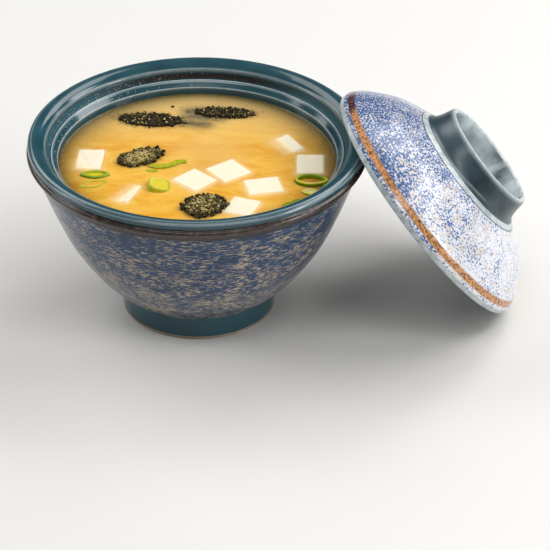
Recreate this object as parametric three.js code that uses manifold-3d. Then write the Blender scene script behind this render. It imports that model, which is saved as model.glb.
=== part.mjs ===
// Miso soup in its own lidded stoneware bowl, with the lid leaning on the rim.
//
// Units are millimetres and +Z is up. Everything is laid out round the bowl's axis, with the
// table at z = 0, and the whole is then shifted so that the origin is the middle of its bottom.
// Each separate piece is one named mesh: bowl, soup, lid, tofu, seaweed and spring onion.

import * as THREE from 'three';
import Module from 'manifold-3d';
import { mergeVertices } from 'three/addons/utils/BufferGeometryUtils.js';
import { RoundedBoxGeometry } from 'three/addons/geometries/RoundedBoxGeometry.js';

const wasm = await Module();
wasm.setup();

// ---------------------------------------------------------------- driving dimensions

const GAP = 0.35;                 // clearance between pieces that touch
const LOOSE_GAP = 0.6;            // wider round the seaweed and spring onion, whose sides are uneven
const TURN_STEPS = 48;            // facets round the bowl, the soup and the lid
const RING_STEPS = 18;            // facets round a ring of spring onion
const STRIP_STEPS = 10;           // facets along a strip of it

// Bowl: foot ring, flaring body, beaded rim, and a flange with a ledge for the lid inside it
const FOOT = { radius: 35, height: 12, ring_width: 4.6, recess: 6.5 };
const BODY = { radius: 75.4, top: 78.4 };
const BEAD = { radius: 76.3, z: 80.7, size: 1.5 };
const RIM = { radius: 74.9, z: 84.3, size: 2.3 };
const FLANGE = { radius: 70.6, z: 82.8, size: 1.6, slope: 25 };
const LEDGE = { radius: 66.4, z: 79.6, width: 2.6, fall: 2.6 };
const MOUTH_RADIUS = 63;          // inner wall where the soup meets it
const FLOOR_Z = 12;

const SOUP_LEVEL = 73.4;

// Lid: a dome with a ring-shaped knob, leaning on the rim with its edge on the table
const LID = { radius: 61.8, edge: 3.4, rim_width: 4.5, hollow: 23.4 };
const KNOB = { foot_radius: 28.6, top_radius: 26.8, top: 39, lip: 1.3, hollow_radius: 22, floor: 28.6 };
const LID_LEAN = 51.8;            // degrees between the lid's rim and the table
const LID_TURN = 7.4;             // degrees, seen from above
const LID_AT = { x: 103.15, y: 4.9 };

// Toppings. x, y: from the bowl's axis. turn: seen from above, in degrees. rise: how far the
// middle of the top stands above the soup. tip_x, tip_y: tilt about its own long and wide axes.
const TOFU_HEIGHT = 11;
const TOFU = [
  { x: -49.2, y: 2.4, long: 11.8, wide: 16.6, turn: -6.5, rise: 0.25, tip_x: 2.6, tip_y: -4 },
  { x: -32.6, y: -26.8, long: 16, wide: 10, turn: 67, rise: -0.85, tip_x: -14, tip_y: 2.4 },
  { x: -1, y: -16.3, long: 14.2, wide: 14.5, turn: 46, rise: 0.5, tip_x: 0, tip_y: 1 },
  { x: 14.2, y: -8.1, long: 14.8, wide: 14.5, turn: 37, rise: 0.5, tip_x: 1, tip_y: 0 },
  { x: 30.1, y: -21.7, long: 15.8, wide: 12.8, turn: 13, rise: 0.5, tip_x: 1, tip_y: 0 },
  { x: 20.5, y: -40, long: 12.7, wide: 13.8, turn: -22, rise: 0.45, tip_x: 1, tip_y: -1 },
  { x: 40, y: 15.6, long: 14.4, wide: 11, turn: -60, rise: -0.3, tip_x: 13, tip_y: 0 },
  { x: 51.3, y: -2.1, long: 12.2, wide: 15.6, turn: -1, rise: 0.5, tip_x: 2, tip_y: 0 },
];

// Seaweed: crumpled clumps of laver, curled up round their edges
const SEAWEED = [
  { x: -22, y: 38.8, long: 30, wide: 12.4, high: 4.4, turn: -6, rise: 1.9, lobes: 9 },
  { x: 11.9, y: 45.5, long: 28, wide: 9.4, high: 4.2, turn: -5, rise: 1.8, lobes: 11 },
  { x: -25.8, y: 4.2, long: 21, wide: 13.5, high: 5, turn: 34, rise: 2.5, lobes: 7 },
  { x: 3.5, y: -39.9, long: 20.2, wide: 17.8, high: 5.6, turn: 40, rise: 2.8, lobes: 8 },
];

// Spring onion: rings and curved strips. pinch narrows a ring towards a point at each end, and a
// ring of wall 0 is a slice from near the root, filled by its inner leaves.
const ONION_RINGS = [
  { x: -46.2, y: -11.7, long: 13.4, wide: 7, wall: 1.5, high: 2.6, turn: 2, rise: 1.0, pinch: 0.5 },
  { x: -46.8, y: -20, long: 13.4, wide: 6.2, wall: 1.3, high: 2.2, turn: 22, rise: 0.25, pinch: 0.45 },
  { x: -16.9, y: -21.8, long: 10, wide: 11, wall: 0, high: 4.6, turn: 0, rise: 1.5, pinch: 0, tip_y: 13 },
  { x: 51.6, y: -17.8, long: 15.4, wide: 9.6, wall: 1.5, high: 3.4, turn: -5, rise: 1.8, pinch: 0.15 },
  { x: 51.4, y: -27.5, long: 8.2, wide: 5.4, wall: 1.3, high: 2.6, turn: -8, rise: 0.9, pinch: 0.3 },
];
const ONION_STRIPS = [
  { path: [[-21.9, -3.7], [-18, -4.8], [-13, -3.4], [-8.2, -0.1], [-5.2, -0.3]],
    width: 2.7, high: 2.4, rise: 0.9 },
  { path: [[-23, -7.2], [-20.8, -8.1], [-18.2, -7.8]], width: 1.6, high: 1.8, rise: 0.4 },
  { path: [[57.8, -22], [57, -23.8], [56, -25.4]], width: 1.4, high: 2.6, rise: 1.6 },
  { path: [[38.8, -40.9], [41, -38.5], [43.4, -38.1], [45, -35.9], [47.6, -35]],
    width: 2.4, high: 2.6, rise: 1.1 },
];

// ---------------------------------------------------------------- materials

const material = (color, roughness) => new THREE.MeshStandardMaterial({ color, roughness, metalness: 0 });
const TEAL_GLAZE = material(0x3f6a78, 0.15);
const SPECKLED_GLAZE = material(0x8d9cc0, 0.3);
const BROTH = material(0xe8ae4a, 0.12);
const BEAN_CURD = material(0xfdf3dc, 0.45);
const LAVER = material(0x23241c, 0.6);
const ONION_GREEN = material(0x7f9a1c, 0.35);

// ---------------------------------------------------------------- helpers

const radians = THREE.MathUtils.degToRad;

// Repeatable random numbers from 0 to 1
function randomFrom(seed) {
  let state = seed;
  return () => {
    state = (state * 1664525 + 1013904223) % 4294967296;
    return state / 4294967296;
  };
}

const points = (...pairs) => pairs.map(([r, z]) => new THREE.Vector2(r, z));

// Points on an arc about (r, z), from one angle to another in degrees
function arc(r, z, size, from, to, steps) {
  const out = [];
  for (let i = 0; i <= steps; i += 1) {
    const angle = radians(from + ((to - from) * i) / steps);
    out.push(new THREE.Vector2(r + size * Math.cos(angle), z + size * Math.sin(angle)));
  }
  return out;
}

const smooth = (steps, ...pairs) => new THREE.SplineCurve(points(...pairs)).getPoints(steps);

// A solid of revolution about +Z. Its outline starts and ends on the axis.
function turned(outline) {
  return new THREE.LatheGeometry(outline, TURN_STEPS).rotateX(Math.PI / 2);
}

// The same vertices shared by all the faces that meet there, with faces of no area left out
function welded(geometry) {
  const bare = geometry.clone();
  bare.deleteAttribute('normal');
  bare.deleteAttribute('uv');
  const merged = mergeVertices(bare, 1e-4);
  const index = merged.index.array;
  const kept = [];
  for (let i = 0; i < index.length; i += 3) {
    const [a, b, c] = [index[i], index[i + 1], index[i + 2]];
    if (a !== b && b !== c && c !== a) kept.push(a, b, c);
  }
  merged.setIndex(kept);
  merged.computeVertexNormals();
  return merged;
}

function solidFrom(geometry) {
  return new wasm.Manifold(new wasm.Mesh({
    numProp: 3,
    vertProperties: new Float32Array(geometry.attributes.position.array),
    triVerts: new Uint32Array(geometry.index.array),
  }));
}

function geometryFrom(solid) {
  const { vertProperties, triVerts } = solid.getMesh();
  const geometry = new THREE.BufferGeometry();
  geometry.setAttribute('position', new THREE.BufferAttribute(vertProperties, 3));
  geometry.setIndex(new THREE.BufferAttribute(triVerts, 1));
  geometry.computeVertexNormals();
  return geometry;
}

// What is cut out of the soup for a topping, in the topping's own place
function pocketFor(topping) {
  topping.updateMatrixWorld();
  return solidFrom(welded(topping.userData.pocket).applyMatrix4(topping.matrixWorld));
}

function named(name, geometry, finish) {
  const mesh = new THREE.Mesh(geometry, finish);
  mesh.name = name;
  return mesh;
}

// ---------------------------------------------------------------- bowl and soup

// Inner wall, from the mouth down to the middle of the floor, drawn in by an inset
function innerWall(inset, steps) {
  const up = inset * 0.9;
  return smooth(
    steps,
    [MOUTH_RADIUS - inset, SOUP_LEVEL - 1],
    [MOUTH_RADIUS - 1.6 - inset, 62],
    [56.2 - inset, 46],
    [47 - inset, 30 + up * 0.6],
    [33 - inset, 17.5 + up],
    [15, FLOOR_Z + 0.5 + up],
    [0, FLOOR_Z + up],
  );
}

function bowl() {
  const footInner = FOOT.radius - FOOT.ring_width;
  const ease = 90 + FLANGE.slope;
  const lip = { radius: LEDGE.radius - LEDGE.width, z: LEDGE.z - LEDGE.fall };
  return turned([
    ...points([0, FOOT.recess], [footInner - 2, FOOT.recess], [footInner - 1, FOOT.recess - 1]),
    ...points([footInner, 0.7], [footInner + 0.8, 0], [FOOT.radius - 0.8, 0]),
    ...points([FOOT.radius, 0.8], [FOOT.radius + 1, FOOT.height - 0.6]),
    ...points([FOOT.radius + 2.2, FOOT.height + 0.6]),
    ...smooth(8, [38.6, 13.4], [47.1, 22], [58.3, 38], [65.8, 54], [72.1, 70], [BODY.radius, BODY.top]),
    ...arc(BEAD.radius, BEAD.z, BEAD.size, -75, 60, 3),
    ...arc(RIM.radius, RIM.z, RIM.size, -28, ease, 4),
    ...arc(FLANGE.radius, FLANGE.z, FLANGE.size, ease, 180, 2),
    ...points([LEDGE.radius + 0.5, LEDGE.z + 0.6], [LEDGE.radius - 0.2, LEDGE.z - 0.3]),
    ...points([lip.radius + 0.4, lip.z + 0.3], [lip.radius - 0.3, lip.z - 0.7]),
    ...points([MOUTH_RADIUS + 0.1, SOUP_LEVEL + 0.5]),
    ...innerWall(0, 7),
  ]);
}

function soup(toppings) {
  const outline = [
    ...points([0, SOUP_LEVEL], [MOUTH_RADIUS - GAP, SOUP_LEVEL]),
    ...innerWall(GAP, 7),
  ];
  const whole = solidFrom(welded(turned(outline.reverse())));
  const cut = toppings.reduce((rest, topping) => rest.subtract(pocketFor(topping)), whole);
  const [body] = cut.decompose().sort((a, b) => b.volume() - a.volume());
  return geometryFrom(body);
}

// ---------------------------------------------------------------- lid

function lidOutline() {
  const inner = LID.radius - LID.rim_width;
  return [
    ...points([0, LID.hollow]),
    ...smooth(6, [15, LID.hollow - 0.3], [31.5, 21.6], [43.5, 15.7], [49.9, 10.4], [55, 5], [inner, 0.9]),
    ...points([inner + 0.8, 0], [LID.radius - 0.8, 0], [LID.radius, 0.8]),
    ...smooth(8, [LID.radius, LID.edge], [58.8, 8.2], [53.1, 14], [46.3, 19.6], [33.7, 26]),
    ...points([31, 27.5], [KNOB.foot_radius + 0.5, 29.2], [KNOB.foot_radius - 0.6, 31.4]),
    ...arc(KNOB.top_radius - KNOB.lip, KNOB.top - KNOB.lip, KNOB.lip, 10, 170, 4),
    ...points([KNOB.hollow_radius + 0.8, KNOB.floor + 2], [KNOB.hollow_radius - 1, KNOB.floor]),
    ...points([0, KNOB.floor]),
  ];
}

function lid() {
  const outline = lidOutline();
  const lean = radians(LID_LEAN);
  const reach = outline.map((p) => p.x * Math.sin(lean) - p.y * Math.cos(lean));
  const mesh = named('lid', turned(outline), SPECKLED_GLAZE);
  mesh.rotation.set(0, lean, radians(LID_TURN), 'ZYX');
  mesh.position.set(LID_AT.x, LID_AT.y, Math.max(...reach));
  return mesh;
}

// ---------------------------------------------------------------- toppings

// Stands a topping, made with its top at z = 0, in the soup, with the pocket that it needs there
function floated(mesh, pocket, { x = 0, y = 0, turn = 0, rise, tip_x = 0, tip_y = 0 }) {
  mesh.userData.pocket = pocket;
  mesh.rotation.set(radians(tip_x), radians(tip_y), radians(turn), 'ZYX');
  mesh.position.set(x, y, SOUP_LEVEL + rise);
  return mesh;
}

function tofuBlock(name, spec) {
  const block = new RoundedBoxGeometry(spec.long, spec.wide, TOFU_HEIGHT, 1, 0.8);
  const [long, wide, high] = [spec.long, spec.wide, TOFU_HEIGHT].map((side) => side + 2 * GAP);
  const pocket = new THREE.BoxGeometry(long, wide, high).translate(0, 0, -TOFU_HEIGHT / 2);
  return floated(named(name, block.translate(0, 0, -TOFU_HEIGHT / 2), BEAN_CURD), pocket, spec);
}

// A flattened clump, scalloped round its edge, with a raised rim and a crumpled top
function clump(spec, seed, margin) {
  const random = randomFrom(seed);
  const waves = Array.from({ length: 5 }, () => ({
    along: new THREE.Vector3(random() - 0.5, random() - 0.5, random() - 0.5).normalize(),
    count: 6 + 8 * random(),
    start: 6 * random(),
  }));
  const geometry = welded(new THREE.IcosahedronGeometry(1, 3));
  const place = geometry.attributes.position;
  for (let i = 0; i < place.count; i += 1) {
    const from = new THREE.Vector3().fromBufferAttribute(place, i);
    const angle = Math.atan2(from.y, from.x);
    const spread = Math.hypot(from.x, from.y);
    const crumple = waves.reduce((sum, w) => sum + Math.sin(w.count * from.dot(w.along) + w.start), 0) / 5;
    const scallop = 1 + 0.07 * Math.sin(spec.lobes * angle + seed) + 0.1 * crumple;
    const curl = from.z > 0 ? 0.55 + 0.45 * spread ** 2 : 1;
    const flat = Math.sign(from.z) * Math.abs(from.z) ** 0.6;
    place.setXYZ(
      i,
      from.x * scallop * (spec.long / 2 + margin),
      from.y * scallop * (spec.wide / 2 + margin),
      (flat * curl + 0.25 * crumple * (1 - spread ** 4)) * (spec.high / 2 + margin) - spec.high / 2,
    );
  }
  return geometry;
}

function seaweedClump(name, spec, seed) {
  return floated(named(name, clump(spec, seed, 0), LAVER), clump(spec, seed, LOOSE_GAP), spec);
}

// A flat outline standing up through a height, grown by a margin above and below
function upright(shape, high, margin) {
  const depth = high + 2 * margin;
  return new THREE.ExtrudeGeometry(shape, { depth, bevelEnabled: false }).translate(0, 0, -high - margin);
}

// Outline of a spring onion ring, pinched towards a point at each end
function ringOutline(long, wide, pinch) {
  return Array.from({ length: RING_STEPS }, (_, i) => {
    const angle = (2 * Math.PI * i) / RING_STEPS;
    const narrow = 1 - pinch * Math.cos(angle) ** 2;
    return new THREE.Vector2((long / 2) * Math.cos(angle), (wide / 2) * Math.sin(angle) * narrow);
  });
}

function ringShape({ long, wide, wall, pinch }, margin) {
  const shape = new THREE.Shape(ringOutline(long + 2 * margin, wide + 2 * margin, pinch));
  if (wall > 0) {
    const inner = ringOutline(long - 2.6 * wall - 2 * margin, wide - 2 * wall - 2 * margin, pinch);
    shape.holes.push(new THREE.Path(inner));
  }
  return shape;
}

function onionRing(name, spec) {
  const [ring, pocket] = [0, LOOSE_GAP].map(
    (margin) => upright(ringShape(spec, margin), spec.high, margin),
  );
  return floated(named(name, ring, ONION_GREEN), pocket, spec);
}

// A strip cut from a ring, standing on edge along its path and narrower at the ends
function stripShape({ path, width }, margin) {
  const line = new THREE.SplineCurve(points(...path));
  const left = [];
  const right = [];
  for (let i = 0; i <= STRIP_STEPS; i += 1) {
    const at = line.getPoint(i / STRIP_STEPS);
    const along = line.getTangent(i / STRIP_STEPS);
    const half = (width / 2) * (0.45 + 0.55 * Math.sin((Math.PI * i) / STRIP_STEPS)) + margin;
    const past = { 0: -margin, [STRIP_STEPS]: margin }[i] ?? 0;
    at.addScaledVector(along, past);
    left.push(new THREE.Vector2(at.x - along.y * half, at.y + along.x * half));
    right.unshift(new THREE.Vector2(at.x + along.y * half, at.y - along.x * half));
  }
  return new THREE.Shape([...left, ...right]);
}

function onionStrip(name, spec) {
  const [strip, pocket] = [0, LOOSE_GAP].map(
    (margin) => upright(stripShape(spec, margin), spec.high, margin),
  );
  return floated(named(name, strip, ONION_GREEN), pocket, spec);
}

// ---------------------------------------------------------------- the whole

const toppings = [
  ...TOFU.map((spec, i) => tofuBlock(`tofu_${i + 1}`, spec)),
  ...SEAWEED.map((spec, i) => seaweedClump(`seaweed_${i + 1}`, spec, i + 3)),
  ...ONION_RINGS.map((spec, i) => onionRing(`scallion_ring_${i + 1}`, spec)),
  ...ONION_STRIPS.map((spec, i) => onionStrip(`scallion_strip_${i + 1}`, spec)),
];

const whole = new THREE.Group();
whole.add(
  named('bowl', bowl(), TEAL_GLAZE),
  named('soup', soup(toppings), BROTH),
  lid(),
  ...toppings,
);

// The origin goes to the middle of the bottom
whole.updateMatrixWorld(true);
const extent = new THREE.Box3().setFromObject(whole, true);
whole.position.set(-(extent.min.x + extent.max.x) / 2, -(extent.min.y + extent.max.y) / 2, -extent.min.z);

export default whole;
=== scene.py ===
"""Miso soup in its lidded stoneware bowl: the finish of every piece, and the studio round it.

A number for a length is in millimetres unless a note says metres. Times MM it is in metres, as the
settings, the frame and the meshes are.
"""

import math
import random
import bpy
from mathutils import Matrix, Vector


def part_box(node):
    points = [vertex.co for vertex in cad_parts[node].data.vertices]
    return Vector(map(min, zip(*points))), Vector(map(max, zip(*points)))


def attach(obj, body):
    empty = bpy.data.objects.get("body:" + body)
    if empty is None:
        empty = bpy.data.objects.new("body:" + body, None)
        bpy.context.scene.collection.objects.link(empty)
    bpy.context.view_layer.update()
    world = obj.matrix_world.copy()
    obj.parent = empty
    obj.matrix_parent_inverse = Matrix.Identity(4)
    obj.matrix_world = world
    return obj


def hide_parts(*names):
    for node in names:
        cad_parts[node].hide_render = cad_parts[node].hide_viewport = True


bl_info = {
    "name": "Miso soup in a lidded bowl",
    "version": (1, 0, 0),
    "blender": (4, 5, 0),
    "location": "3D View > Sidebar > Miso Soup",
    "description": "Glazed bowl and lid, cloudy broth, tofu, seaweed and spring onion",
    "category": "Object",
}

import bmesh
import bpy
import numpy as np
from bpy.props import FloatProperty, FloatVectorProperty, IntProperty, PointerProperty
from mathutils import Matrix, Vector, noise
from mathutils.bvhtree import BVHTree

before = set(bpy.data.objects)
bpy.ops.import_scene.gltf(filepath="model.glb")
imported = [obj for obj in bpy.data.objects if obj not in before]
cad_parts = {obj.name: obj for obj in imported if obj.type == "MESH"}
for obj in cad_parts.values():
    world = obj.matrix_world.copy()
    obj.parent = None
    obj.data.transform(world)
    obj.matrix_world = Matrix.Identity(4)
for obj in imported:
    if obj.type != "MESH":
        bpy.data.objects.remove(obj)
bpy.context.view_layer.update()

MM = 0.001
TINY = 1e-6                       # a shorter length counts as none
DOWN = Vector((0, 0, -1))

TOFU_NODES = tuple(f"tofu_{i}" for i in range(1, 9))
SEAWEED_NODES = tuple(f"seaweed_{i}" for i in range(1, 5))

# ---------------------------------------------------------------- places that the frame gives

BOWL_LOW, BOWL_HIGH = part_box("bowl")
BOWL_AXIS = Vector(((BOWL_LOW.x + BOWL_HIGH.x) / 2, (BOWL_LOW.y + BOWL_HIGH.y) / 2, 0.0))
SOUP_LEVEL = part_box("soup")[1].z / MM

# ---------------------------------------------------------------- outlines, (radius, height) in mm

FOOT = {"radius": 35.0, "wall": 4.6, "recess": 6.5}
BEAD = {"centre": (76.3, 80.7), "size": 1.4}
RIM = {"centre": (74.9, 84.3), "size": 2.3}
FLANGE = {"centre": (70.6, 82.8), "size": 1.6, "slope": 25}
OUTER_WALL = ((38.6, 13.4), (47.1, 22), (58.3, 38), (65.8, 54), (72.1, 70), (75.4, 78.4))
INNER_WALL = ((63, 72.4), (61.4, 62), (56.2, 46), (47, 30), (33, 17.5), (15, 12.5), (0, 12))

LID = {"radius": 61.62, "edge": 3.4, "rim": 4.5, "hollow": 23.4}
KNOB = {"top": 38.96, "lip": 1.3, "radius": 26.8, "hollow": 22.0, "floor": 28.6}
LID_REACH = (103.15, 4.9)         # from the bowl's axis to the middle of the lid's rim

TURN_STEPS = 288                  # facets round the bowl and the lid
GLAZE, SPECKLED, BARE, REFLECTING_WALL, THIN_GLAZE = range(5)      # finishes along the bowl's outline
PLAIN, SPOTTED, SLIP_AND_HIGHLIGHT, HOLLOW = range(4)                    # finishes along the lid's outline


def linear(code):
    """A linear RGB colour from an sRGB hex code."""
    channels = [int(code[i:i + 2], 16) / 255 for i in (1, 3, 5)]
    return tuple(c / 12.92 if c <= 0.04045 else ((c + 0.055) / 1.055) ** 2.4 for c in channels)


# ---------------------------------------------------------------- settings


def colour(name, description, code):
    return FloatVectorProperty(
        name=name, description=description, subtype="COLOR", size=3, min=0, max=1, default=linear(code)
    )


def length(name, description, mm):
    return FloatProperty(
        name=name, description=description, subtype="DISTANCE", unit="LENGTH", min=0, default=mm * MM
    )


class MisoGlazeSettings(bpy.types.PropertyGroup):
    teal: colour("Teal", "Glaze on the rim, foot, knob and insides", "#27505a")
    # Partly painted highlight: the pale lines along the rim's edges, the ledges and the knob's lip also stand
    # in for the light along them.
    teal_thin: colour("Thin teal", "The same glaze where it runs thin over an edge", "#b9c6c9")
    slate: colour("Slate", "The same glaze where it lies thick", "#1b3f4a")
    # Painted reflection: this dark brown stands in for the warm broth reflected in the wall under the flange.
    reflected_brown: colour("Stain", "Iron that has bled into the glaze inside the rim", "#1f1a17")
    blue: colour("Blue", "Speckles of cobalt on the bowl", "#1b4e80")
    bright_blue: colour("Bright blue", "Speckles of cobalt on the lid", "#255fa2")
    sand: colour("Sand", "Ground between the speckles on the bowl", "#b0a28d")
    white: colour("White", "Ground between the speckles on the lid", "#dadce3")
    blush: colour("Blush", "Warm tint in the lid's ground", "#d6cabb")
    iron: colour("Iron brown", "Band under the bowl's rim", "#3a2e27")
    rust: colour("Rust", "Band round the lid", "#bd8450")
    plum: colour("Plum", "Where the lid's band is burnt dark", "#4b2f38")
    # This pale colour is also a painted highlight on top of the knob's lip.
    slip: colour("Slip", "Thin pale glaze on the lid's upright edge and collar", "#bcc6c9")
    knob: colour("Knob", "Satin glaze on the wall of the lid's knob", "#1f2e36")
    knob_thin: colour("Thin knob", "The same glaze where it lies thinner", "#42545c")
    pale: colour("Pale glaze", "Thin grey glaze in the hollow of the lid's knob", "#d3dddf")
    foot: colour("Foot", "Thinner glaze on the foot ring", "#28505d")
    clay: colour("Clay", "Bare stoneware under the foot", "#b3a08c")
    dash_length: length("Dash length", "How long a speckle on the bowl is", 2.7)
    dash_width: length("Dash width", "How wide a speckle on the bowl is", 0.7)
    spot: length("Spot", "How wide a speckle on the lid is", 0.78)
    wobble: length("Wobble", "How far a thrown wall strays from round", 0.12)


class MisoLidSettings(bpy.types.PropertyGroup):
    lean: FloatProperty(
        name="Lean", description="Angle between the lid's rim and the table",
        subtype="ANGLE", unit="ROTATION", default=math.radians(51.8),
    )
    turn: FloatProperty(
        name="Turn", description="Direction that the lid faces, seen from above",
        subtype="ANGLE", unit="ROTATION", default=math.radians(7.4),
    )


class MisoBrothSettings(bpy.types.PropertyGroup):
    amber: colour("Amber", "Clear broth between the clouds", "#dd991c")
    cloud: colour("Cloud", "Miso clouds", "#edbc50")
    # Painted sheen: the broth is paled towards this colour at the back, standing in for light reflected off
    # its surface.
    far: colour("Pale broth", "Broth towards the back, where the paste has risen", "#e2bf7c")
    # Painted shade: the broth near the wall is darkened towards this colour, standing in for the shade of the
    # wall and the lid, with the dark wall seen through the shallow broth.
    edge: colour("Edge", "Broth over the dark wall", "#343820")
    curd_glow: colour("Curd glow", "Broth lit through by the tofu", "#fbecc8")
    weed_haze: colour("Weed haze", "Broth over sunk seaweed", "#67614a")
    meniscus: length("Meniscus", "How high the broth creeps up a wall", 0.6)
    creep: length("Creep", "How high the broth may climb the side of a cube of tofu", 1.4)
    glow_depth: length("Glow depth", "Depth at which tofu is half lost to sight", 0.65)


class MisoToppingSettings(bpy.types.PropertyGroup):
    curd: colour("Curd", "Tofu", "#f3e8d0")
    laver: colour("Laver", "Wet seaweed", "#17120a")
    # Raised towards white, this colour is also the painted glints on the curls.
    fleck_and_glint: colour("Fleck", "Paler flecks in the seaweed", "#b7a35f")
    leaf: colour("Leaf", "Skin of the spring onion", "#82a00a")
    heart: colour("Heart", "Inner layers of the spring onion", "#dcc826")
    curl: length("Curl", "Size of a curl of seaweed", 1.25)
    seed: IntProperty(
        name="Seed", description="Draw of the seaweed's curls and crumbs and of the drops", default=11, min=0
    )


class MisoStageSettings(bpy.types.PropertyGroup):
    floor: colour("Floor", "Pale floor", "#e4e2de")
    pitch: FloatProperty(
        name="Pitch", description="How far down the camera looks",
        subtype="ANGLE", unit="ROTATION", default=math.radians(31.48),
    )
    focal_length: FloatProperty(
        name="Focal length", description="Long lens, in millimetres", unit="CAMERA", default=288.5
    )
    light: FloatProperty(
        name="Light", description="Strength of the room's light overhead", min=0, default=0.25
    )


# ---------------------------------------------------------------- making shapes


def through(stops, steps):
    """Points on a smooth curve through some stops, both ends included."""
    stops = [Vector(s) for s in stops]
    ends = [stops[0], *stops, stops[-1]]
    out = []
    for i in range(len(stops) - 1):
        before, start, end, after = ends[i:i + 4]
        leave, reach = (end - before) / 2, (after - start) / 2
        for k in range(steps):
            t = k / steps
            out.append(
                (2 * start - 2 * end + leave + reach) * t ** 3
                + (3 * end - 3 * start - 2 * leave - reach) * t ** 2
                + leave * t + start
            )
    return [tuple(p) for p in (*out, stops[-1])]


def arc(centre, size, start, end, steps):
    """Points on an arc, with its angles in degrees."""
    angles = (math.radians(start + (end - start) * i / steps) for i in range(steps + 1))
    return [(centre[0] + size * math.cos(a), centre[1] + size * math.sin(a)) for a in angles]


def new_piece(name, verts, faces):
    """An object from points in metres, shaded smooth."""
    mesh = bpy.data.meshes.new(name)
    mesh.from_pydata(verts, [], faces)
    mesh.update()
    mesh.shade_smooth()
    piece = bpy.data.objects.new(name, mesh)
    bpy.context.scene.collection.objects.link(piece)
    return piece


def write_attribute(piece, name, values):
    layer = piece.data.attributes.new(name, "FLOAT", "POINT")
    layer.data.foreach_set("value", np.asarray(values, np.float32))


def settle(piece, place=Matrix.Identity(4)):
    """Moves a mesh from its own axes to its place, and keeps its own coordinates in mm as "own"."""
    own = np.empty(3 * len(piece.data.vertices), np.float32)
    piece.data.vertices.foreach_get("co", own)
    layer = piece.data.attributes.new("own", "FLOAT_VECTOR", "POINT")
    layer.data.foreach_set("vector", own / MM)
    piece.data.transform(place)
    return piece


def dress(piece, slot, materials, *nodes):
    """Puts a piece on the body, in place of some CAD nodes."""
    for material in materials:
        piece.data.materials.append(material)
    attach(piece, "root")
    if nodes:
        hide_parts(*nodes)


def thinness_and_edge_highlight(outline):
    """How tightly an outline turns outwards at each point, from 0 to 1: glaze runs thin there, and the pale
    colour laid on it there is partly a painted highlight along the edge.
    """
    loose, tight = 0.42, 1.0      # curvature, per mm
    out = []
    for i, here in enumerate(outline):
        here = Vector(here)
        back = here - Vector(outline[max(i - 1, 0)])
        ahead = Vector(outline[min(i + 1, len(outline) - 1)]) - here
        span = (back.length + ahead.length) / 2
        if min(back.length, ahead.length) < TINY:
            out.append(0.0)
            continue
        turn = math.atan2(back.x * ahead.y - back.y * ahead.x, back.dot(ahead))
        out.append(min(max((turn / span - loose) / (tight - loose), 0.0), 1.0))
    return [(a + 2 * b + c) / 4 for a, b, c in zip([0.0] + out, out, out[1:] + [0.0])]


def turned(name, sections, place, wobble):
    """A solid of revolution. Each section is a finish and the part of the outline that has it."""
    span, rise, waviness = 70, 90, 1.7        # the scale of the unevenness that throwing leaves
    outline, finishes = [], []
    for finish, points in sections:
        outline += points
        finishes += [finish] * len(points)
    thin = thinness_and_edge_highlight(outline)
    verts, faces, face_finish, thin_values, rows = [], [], [], [], []
    for (radius, height), value in zip(outline, thin):
        steps = TURN_STEPS if radius > 0 else 1
        rows.append(range(len(verts), len(verts) + steps))
        for k in range(steps):
            angle = 2 * math.pi * k / TURN_STEPS
            along = Vector((math.cos(angle), math.sin(angle), height / rise))
            stray = 1 - wobble / MM / span * (0.5 + 0.5 * noise.noise(along * waviness))
            verts.append((radius * stray * along.x * MM, radius * stray * along.y * MM, height * MM))
            thin_values.append(value)
    for row, above, finish in zip(rows, rows[1:], finishes):
        for k in range(TURN_STEPS):
            corners = [row[k % len(row)], row[(k + 1) % len(row)]]
            corners += [above[(k + 1) % len(above)], above[k % len(above)]]
            faces.append(tuple(dict.fromkeys(corners)))
            face_finish.append(finish)
    piece = new_piece(name, verts, faces)
    piece.data.polygons.foreach_set("material_index", face_finish)
    write_attribute(piece, "thin", thin_values)
    return settle(piece, place)


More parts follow.
